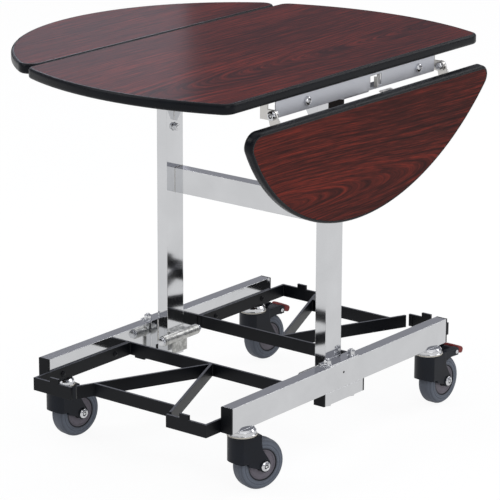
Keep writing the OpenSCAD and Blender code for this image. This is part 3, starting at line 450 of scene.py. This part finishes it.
def piece(name, parts, body, look):
    """One mesh from several surfaces: doubles merged, normals outwards, riding on a body."""
    shift, points, faces = 0, [], []
    for some_points, some_faces in parts:
        points.append(some_points)
        faces.append(some_faces + shift)
        shift += len(some_points)
    mesh = bpy.data.meshes.new(name)
    mesh.from_pydata(np.vstack(points).tolist(), [], np.vstack(faces).tolist())
    work = bmesh.new()
    work.from_mesh(mesh)
    bmesh.ops.remove_doubles(work, verts=work.verts, dist=0.002 * MM)
    bmesh.ops.recalc_face_normals(work, faces=work.faces)
    work.to_mesh(mesh)
    work.free()
    mesh.polygons.foreach_set("use_smooth", np.ones(len(mesh.polygons), bool))
    mesh.materials.append(look)
    made = bpy.data.objects.new(name, mesh)
    bpy.context.scene.collection.objects.link(made)
    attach(made, body)
    return made


def reach(node, origin, axis):
    """How far a node's points go from origin along an axis."""
    mesh = nodes[node].data
    points = np.empty(len(mesh.vertices) * 3)
    mesh.vertices.foreach_get("co", points)
    return float(((points.reshape(-1, 3) - np.array(origin)) @ np.array(axis)).max())


# ---------- bolts and screws ----------

# in mm: the height of a head, how far its dressed copy stands proud of it, and the recess's depth
DOME_H = 5.0
PROUD = 1.1
RECESS = PROUD - 0.1


def head_at(apex, axis, radius, socket, dome_h=DOME_H):
    """Socket head over a plain dome whose top is at apex; it stands PROUD of it so that its recess shows."""
    base = np.array(apex) - np.array(axis) * dome_h * MM
    return socket_head(base, axis, radius, dome_h + PROUD, socket, RECESS)


def floor_at(apex, axis, radius, socket, dome_h=DOME_H):
    """The dark disc of painted shade at the bottom of the recess of the head with the same numbers."""
    edge = (dome_h + PROUD) * math.sqrt(1 - 0.75 * (socket / radius) ** 2)
    base = np.array(apex) + np.array(axis) * (edge - RECESS - dome_h) * MM
    disc = np.array([0, 1, 1, 0])[:, None] * socket * 0.9 * MM
    return turned(base, axis, disc, np.array([-0.1, -0.1, 0.12, 0.12]) * MM)


def heads(name, places, radius, socket, body, dome_h=DOME_H):
    """Socket heads and their floors of painted shade; places are (apex, axis)."""
    caps = [head_at(apex, axis, radius, socket, dome_h) for apex, axis in places]
    floors = [floor_at(apex, axis, radius, socket, dome_h) for apex, axis in places]
    piece(name, caps, body, looks["chrome"])
    piece(name + "_sockets", floors, body, socket_shade)


RAIL_BOLT_YS = (-157 * MM, 196 * MM)
# in mm: the height of a rail bolt's head; then for each kind of bolt the radius of its head, and half the
# width of its socket across the flats
RAIL_DOME_H = 6.0
RAIL_BOLT = (8.4, 3.8)
HINGE_PIN = (9.0, 4.0)
POST_BOLT = (8.2, 3.8)
AXLE_BOLT = (9.6, 4.7)

rail_low, rail_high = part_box("left_rail")[0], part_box("right_rail")[1]
rail_z = (rail_low.z + rail_high.z) / 2
places = [((face + out * RAIL_DOME_H * MM, y, rail_z), (out, 0, 0))
          for face, out in ((rail_low.x, -1), (rail_high.x, 1)) for y in RAIL_BOLT_YS]
heads("rail_bolt_heads", places, *RAIL_BOLT, "frame", RAIL_DOME_H)

low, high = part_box("hinge_pins")
places = [((hinge[side][0], y, hinge[side][2]), (0, out, 0))
          for side in hinge for y, out in ((low.y, -1), (high.y, 1))]
heads("hinge_pin_heads", places, *HINGE_PIN, "frame")

low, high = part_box("post_bolts")
places = [((x, 0, (low.z + high.z) / 2), (out, 0, 0)) for x, out in ((low.x, -1), (high.x, 1))]
heads("post_bolt_heads", places, *POST_BOLT, "frame")

LONG_BOLT_Y = 38 * MM
# M8 bolts, in mm: the thread starts sunk in the nut and ends just past the plain bolt's end
LONG_BOLT_R, LONG_BOLT_PITCH = 4.0, 1.25
SUNK, PAST_END = 0.5, 0.2
nut_top, bolt_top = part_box("long_bolt_nuts")[1].z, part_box("long_bolts")[1].z
shown = (bolt_top - nut_top) / MM + SUNK + PAST_END
middles = [sum(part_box(side + "_runner"), Vector()) / 2 for side in ("left", "right")]
threads = [thread((middle.x, y, nut_top - SUNK * MM), (0, 0, 1), LONG_BOLT_R, LONG_BOLT_PITCH, shown)
           for middle in middles for y in (-LONG_BOLT_Y, LONG_BOLT_Y)]
piece("long_bolt_threads", threads, "frame", looks["chrome"])


# ---------- casters ----------

# rings on a wheel's two side walls, in mm: radius, half width, half height and distance from the wheel's
# middle; the tyre's stand out of its wall as moulded steps, the hub's are dark lines at its rim and its boss
TYRE_STEPS = ((34.2, 1.5, 0.7, 15.9), (38.4, 0.8, 0.7, 15.9), (44.6, 1.1, 0.7, 14.6))
HUB_GROOVES = ((30.6, 0.8, 0.4, 14.9), (11.6, 1.5, 0.7, 13.4))
# rings on the fork, in mm: radius, half width and half height
CHEEK_BOSS = (11.4, 1.1, 0.9)
HOUSING_LIP = (27.3, 0.9, 1.4)
CUP_SEAL = (28.4, 0.8, 1.3)
RIVET = (2.9, 1.1, 0.6)
# in mm: how deep a boss sits in its cheek, the lip below and the seal above the housing's top, and the
# rivets below the cheek's outer face
BOSS_SUNK, LIP_DOWN, SEAL_UP, RIVET_SUNK = 0.2, 1.6, 1.7, 0.3
SIDES = (-1, 1)
UP = (0, 0, 1)
fork_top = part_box("front_left_fork")[1].z


def on_axle(wheel, along):
    """A point on a wheel's axle line, along mm from its middle."""
    joint = joints[wheel + "_spin"]
    return np.array(joint["pos_m"]) + np.array(joint["axis"]) * along * MM


def axle_end(wheel):
    """How far the axle's domed head reaches from the wheel's middle, in mm."""
    joint = joints[wheel + "_spin"]
    return reach(wheel + "_axle", joint["pos_m"], joint["axis"]) / MM


def wheel_rings(wheel, rings):
    """Rings round the axle on both side walls of a wheel."""
    axis = joints[wheel + "_spin"]["axis"]
    return [ring(on_axle(wheel, side * at), axis, radius, width, height)
            for side in SIDES for radius, width, height, at in rings]


for wheel in CASTERS:
    axis = np.array(joints[wheel + "_spin"]["axis"])
    end_at = axle_end(wheel)
    cheek_out = end_at - DOME_H
    heads(wheel + "_axle_head", [(on_axle(wheel, end_at), axis)], *AXLE_BOLT, wheel + "_caster")
    piece(wheel + "_tyre_steps", wheel_rings(wheel, TYRE_STEPS), wheel + "_wheel", tyre_looks[wheel])
    piece(wheel + "_hub_grooves", wheel_rings(wheel, HUB_GROOVES), wheel + "_wheel", groove_black)
    # raised bosses round the axle on both cheeks, and the lip round the top of the housing
    x, y = joints[wheel + "_swivel"]["pos_m"][:2]
    trims = [ring(on_axle(wheel, side * (cheek_out - BOSS_SUNK)), axis, *CHEEK_BOSS) for side in SIDES]
    trims.append(ring((x, y, fork_top - LIP_DOWN * MM), UP, *HOUSING_LIP))
    piece(wheel + "_fork_trim", trims, wheel + "_caster", looks["fork_nylon"])
    # pale seal that shows as a thin line under the swivel cup
    seal = ring((x, y, fork_top + SEAL_UP * MM), UP, *CUP_SEAL)
    piece(wheel + "_swivel_seal", [seal], "frame", seal_nylon)


# the pedal's pad, in mm: half its length, its semi-axes, its middle out from and below the pin with the
# pedal pressed, and the depth and spacing of the ribs on its top
PAD_HALF = 19.5
PAD_WIDE, PAD_TALL = 10.5, 7.2
PAD_OUT, PAD_DOWN = 18.6, 5.2
RIB_DEPTH, RIB_PITCH = 0.35, 4.2
PAD_SLOPE = math.radians(-34)
CORNERS = 3.2


def pad(pin, across, lift):
    """Pedal pad: superellipses of exponent CORNERS in planes square to the pin, with semi-axes PAD_WIDE and
    PAD_TALL drawn in at both ends by (1 - t^8)^(1/8), and ribs across its top, turned up by lift."""
    across = np.array(across, float)
    up = np.array(UP, float)
    away = np.cross(up, across)
    t = np.sin(np.linspace(-np.pi / 2, np.pi / 2, 61))
    angle = np.linspace(0, 2 * np.pi, 40, endpoint=False)
    wide = np.sign(np.cos(angle)) * np.abs(np.cos(angle)) ** (2 / CORNERS) * PAD_WIDE
    tall = np.sign(np.sin(angle)) * np.abs(np.sin(angle)) ** (2 / CORNERS) * PAD_TALL
    draw = np.clip(1 - np.abs(t) ** 8, 0, 1) ** 0.125
    wave = np.cos(2 * np.pi * t[:, None] * PAD_HALF / RIB_PITCH)
    rib = RIB_DEPTH * wave * np.clip(np.sin(angle), 0, 1) ** 2
    tall = draw[:, None] * (tall + rib)
    wide = draw[:, None] * wide
    tilt = PAD_SLOPE + lift
    middle_y = PAD_OUT * math.cos(lift) + PAD_DOWN * math.sin(lift)
    middle_z = PAD_OUT * math.sin(lift) - PAD_DOWN * math.cos(lift)
    y = middle_y + wide * math.cos(tilt) - tall * math.sin(tilt)
    z = middle_z + wide * math.sin(tilt) + tall * math.cos(tilt)
    x = np.broadcast_to((t * PAD_HALF)[:, None], y.shape)
    points = np.array(pin) + MM * (x[..., None] * across + y[..., None] * away + z[..., None] * up)
    return points.reshape(-1, 3), faces_of(t.size, angle.size, False, True)


for wheel in CASTERS[2:]:
    brake = joints[wheel + "_brake_hinge"]
    pin, across = np.array(brake["pos_m"]), -np.array(brake["axis"])
    # at rest the pedal stands up from the tyre by the joint's whole range
    lift = math.radians(brake["range_deg"][1])
    made = piece(wheel + "_pedal_pad", [pad(pin, across, lift)], wheel + "_brake", looks["red_plastic"])
    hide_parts(wheel + "_pedal_tip")
    rivet_at = (axle_end(wheel) - DOME_H - RIVET_SUNK) * MM
    rivets = [ring(pin + side * across * rivet_at, across, *RIVET) for side in SIDES]
    piece(wheel + "_pedal_rivets", rivets, wheel + "_caster", looks["chrome"])


# ---------- welds ----------

# the rack's bars: thickness, length of an outer piece, set-back of the middle bar, and height
RACK_T = 5 * MM
RACK_PIECE = 91 * MM
RACK_RECESS = 46 * MM
RACK_H = 25.5 * MM
# half a diagonal's thickness, measured along the bar that it meets
SLANT = RACK_T * 0.55
# radii of the beads and ripple of the heavy ones, in mm, and how far a bead stops short of an edge
RACK_BEAD, CROSSBAR_BEAD, GUSSET_BEAD, SADDLE_BEAD = 1.5, 1.1, 1.0, 1.6
SADDLE_RIPPLE = 3.0
RACK_SHORT, SHORT = 1.5 * MM, 1 * MM
# where beads lie from the middle of the V's foot, and how far inside an outer piece's end
V_FOOT = (RACK_T * 0.7, 0.6 * MM)
V_TOP_IN = RACK_T * 0.6


def upright(x, y, low_z, high_z, radius, ripple=RIPPLE):
    """A bead straight up from low_z to high_z."""
    return bead((x, y, low_z), (x, y, high_z), radius, ripple)


def rack_welds(node, out):
    """Upright beads in the corners of a rack: side bars, diagonals, set-back bar and inner bar."""
    low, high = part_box(node)
    middle = (low.x + high.x) / 2
    half = (high.x - low.x) / 2
    outer, inner = (high.y, low.y + RACK_T) if out > 0 else (low.y, high.y - RACK_T)
    span = abs(outer - inner)
    v_top = half - RACK_PIECE
    slope = v_top / span
    back = span - RACK_RECESS
    low_z, high_z = low.z + RACK_SHORT, low.z + RACK_H - RACK_SHORT
    side_bar = [(half - RACK_T, y) for y in (span - RACK_T, 0.0, -RACK_T)]
    set_back = [(slope * y - SLANT, y) for y in (back - RACK_T, back)]
    v_ends = [V_FOOT, (v_top + V_TOP_IN, span - RACK_T)]
    return [upright(middle + sign * x, inner + out * y, low_z, high_z, RACK_BEAD)
            for sign in SIDES for x, y in side_bar + set_back + v_ends]


piece("front_rack_welds", rack_welds("front_rack", -1), "frame", looks["black_steel"])
piece("back_rack_welds", rack_welds("back_rack", 1), "frame", looks["black_steel"])


def frame_welds():
    """Beads round the crossbar's ends, down the gussets and where the posts meet their saddles."""
    made = []
    low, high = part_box("crossbar")
    for x in (low.x, high.x):
        corners = [(x, low.y, low.z), (x, high.y, low.z), (x, high.y, high.z), (x, low.y, high.z)]
        made += [bead(corners[k], corners[(k + 1) % 4], CROSSBAR_BEAD) for k in range(4)]
    g_low, g_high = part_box("gussets")
    for x in (low.x, high.x):
        made += [upright(x, y, g_low.z + SHORT, g_high.z - SHORT, GUSSET_BEAD) for y in (g_low.y, g_high.y)]
    saddle_low, saddle_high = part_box("saddles")
    for side in ("left", "right"):
        p_low, p_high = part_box(side + "_post")
        x = p_low.x if side == "left" else p_high.x
        made += [upright(x, y, saddle_low.z + SHORT, saddle_high.z - SHORT, SADDLE_BEAD, SADDLE_RIPPLE)
                 for y in (p_low.y, p_high.y)]
    return made


piece("frame_welds", frame_welds(), "frame", stamped_steel)


# ---------- studio ----------

# half the sweep's width, its glow's share, and the strength of that glow in reflections and to the camera
SWEEP_HALF = 14.0
GLOW_SHARE = 0.84
GLOW_MIRRORED, GLOW_SEEN = 0.8, 1.085
SOFT_LIGHT = (0.97, 0.98, 1.0, 1)
SOFT_STRENGTH = 0.55
WHITE = (1, 1, 1, 1)
# what polished metal mirrors, from the floor's edge up to the ceiling
ROOM = [(0.0, "#e8e8ea"), (0.05, "#95969d"), (0.5, "#8e8f96"), (0.85, "#f4f4f6")]


def sweep():
    """White paper sweep under the table: it glows for the camera and in reflections, and takes the table's
    soft shadow. Reflections see it a little dimmer, so that polished metal stays below white."""
    mesh = bpy.data.meshes.new("floor")
    half = SWEEP_HALF
    corners = [(-half, -half, 0), (half, -half, 0), (half, half, 0), (-half, half, 0)]
    mesh.from_pydata(corners, [], [(0, 1, 2, 3)])
    floor = bpy.data.objects.new("floor", mesh)
    bpy.context.scene.collection.objects.link(floor)
    material, put, _ = begin("white_sweep")
    path = put("LightPath")
    mirrored = put("Math", {0: path["Is Glossy Ray"], 1: path["Is Transmission Ray"]},
                   operation="MAXIMUM")[0]
    seen = put("Math", {0: path["Is Camera Ray"], 1: mirrored}, operation="MAXIMUM")[0]
    share = put("Math", {0: seen, 1: GLOW_SHARE}, operation="MULTIPLY")[0]
    strength = put("MapRange", {"Value": path["Is Camera Ray"], "To Min": GLOW_MIRRORED,
                                "To Max": GLOW_SEEN})[0]
    matt = put("BsdfDiffuse", {"Color": linear("#e8e8ea")})[0]
    glow = put("Emission", {"Color": WHITE, "Strength": strength})[0]
    put("OutputMaterial", {"Surface": put("MixShader", {0: share, 1: matt, 2: glow})[0]})
    mesh.materials.append(material)


def studio_room():
    """World: white to the camera, a dim wall under a pale ceiling in reflections, soft light otherwise."""
    world = bpy.data.worlds.new("studio")
    bpy.context.scene.world = world
    world.use_nodes = True
    world.node_tree.nodes.clear()
    put = partial(add, world.node_tree)
    path = put("LightPath")
    height = put("SeparateXYZ", {"Vector": put("TexCoord")["Generated"]})["Z"]
    room = put("ValToRGB", {"Fac": height}, stops=ROOM)["Color"]
    seen = put("Math", {0: path["Is Camera Ray"], 1: path["Is Transmission Ray"]}, operation="MAXIMUM")[0]
    soft = put("Background", {"Color": SOFT_LIGHT, "Strength": SOFT_STRENGTH})[0]
    wall = put("Background", {"Color": room, "Strength": 1.0})[0]
    white = put("Background", {"Color": WHITE, "Strength": 1.0})[0]
    unseen = put("MixShader", {0: path["Is Glossy Ray"], 1: soft, 2: wall})[0]
    put("OutputWorld", {"Surface": put("MixShader", {0: seen, 1: unseen, 2: white})[0]})


def lamp(name, place, aim, size, radiance, colour=(1.0, 1.0, 1.0)):
    """A square soft lamp; its power is its radiance times pi times its area."""
    data = bpy.data.lights.new(name, "AREA")
    data.shape = "SQUARE"
    data.size = size
    data.energy = radiance * math.pi * size * size
    data.color = colour
    made = bpy.data.objects.new(name, data)
    made.location = place
    made.visible_camera = False
    made.rotation_mode = "QUATERNION"
    made.rotation_quaternion = (Vector(aim) - Vector(place)).to_track_quat("-Z", "Y")
    bpy.context.scene.collection.objects.link(made)


sweep()
studio_room()
FRAME_MIDDLE = (0.0, 0.0, 0.4)
TOP_RIGHT, TOP_LEFT = (0.3, 0.0, 0.7), (-0.2, 0.0, 0.76)
PALE_VIOLET = (0.88, 0.87, 1.0)
lamp("key", (-2.2, -2.6, 3.2), FRAME_MIDDLE, 1.4, 4.4)
lamp("fill", (3.6, -1.6, 2.2), FRAME_MIDDLE, 1.6, 2.9)
lamp("back", (1.6, 3.4, 3.0), TOP_RIGHT, 1.9, 2.6)
# a small softbox that the left of the tabletop mirrors and the runners don't: it greys the laminate there
lamp("left_back", (-1.27, 1.06, 1.19), TOP_LEFT, 0.5, 1.6, PALE_VIOLET)

# the photograph's camera, fitted to the edges of the top, the posts, the runners and the racks
AZIMUTH, ELEVATION, ROLL = (math.radians(angle) for angle in (38.16, 16.42, 0.24))
TARGET = Vector((0.1271, -0.057, 0.380))
DISTANCE = 5.334
FOCAL_PX, PHOTO_PX = 2760.5, 500
SENSOR_MM = 36.0


def camera():
    """Camera that looks at TARGET from AZIMUTH to the right of the front and ELEVATION above it, then turned
    by ROLL about its own line of sight."""
    back = Vector((math.sin(AZIMUTH) * math.cos(ELEVATION), -math.cos(AZIMUTH) * math.cos(ELEVATION),
                   math.sin(ELEVATION)))
    side = (-back).cross(Vector((0, 0, 1))).normalized()
    top = side.cross(-back)
    right = side * math.cos(ROLL) + top * math.sin(ROLL)
    up = top * math.cos(ROLL) - side * math.sin(ROLL)
    data = bpy.data.cameras.new("camera")
    data.sensor_width = SENSOR_MM
    data.lens = FOCAL_PX / PHOTO_PX * SENSOR_MM
    data.clip_start, data.clip_end = 0.1, 60.0
    made = bpy.data.objects.new("camera", data)
    axes = Matrix((right, up, back)).transposed().to_4x4()
    made.matrix_world = Matrix.Translation(TARGET + back * DISTANCE) @ axes
    bpy.context.scene.collection.objects.link(made)
    bpy.context.scene.camera = made


camera()
bpy.context.scene.view_settings.view_transform = "Standard"
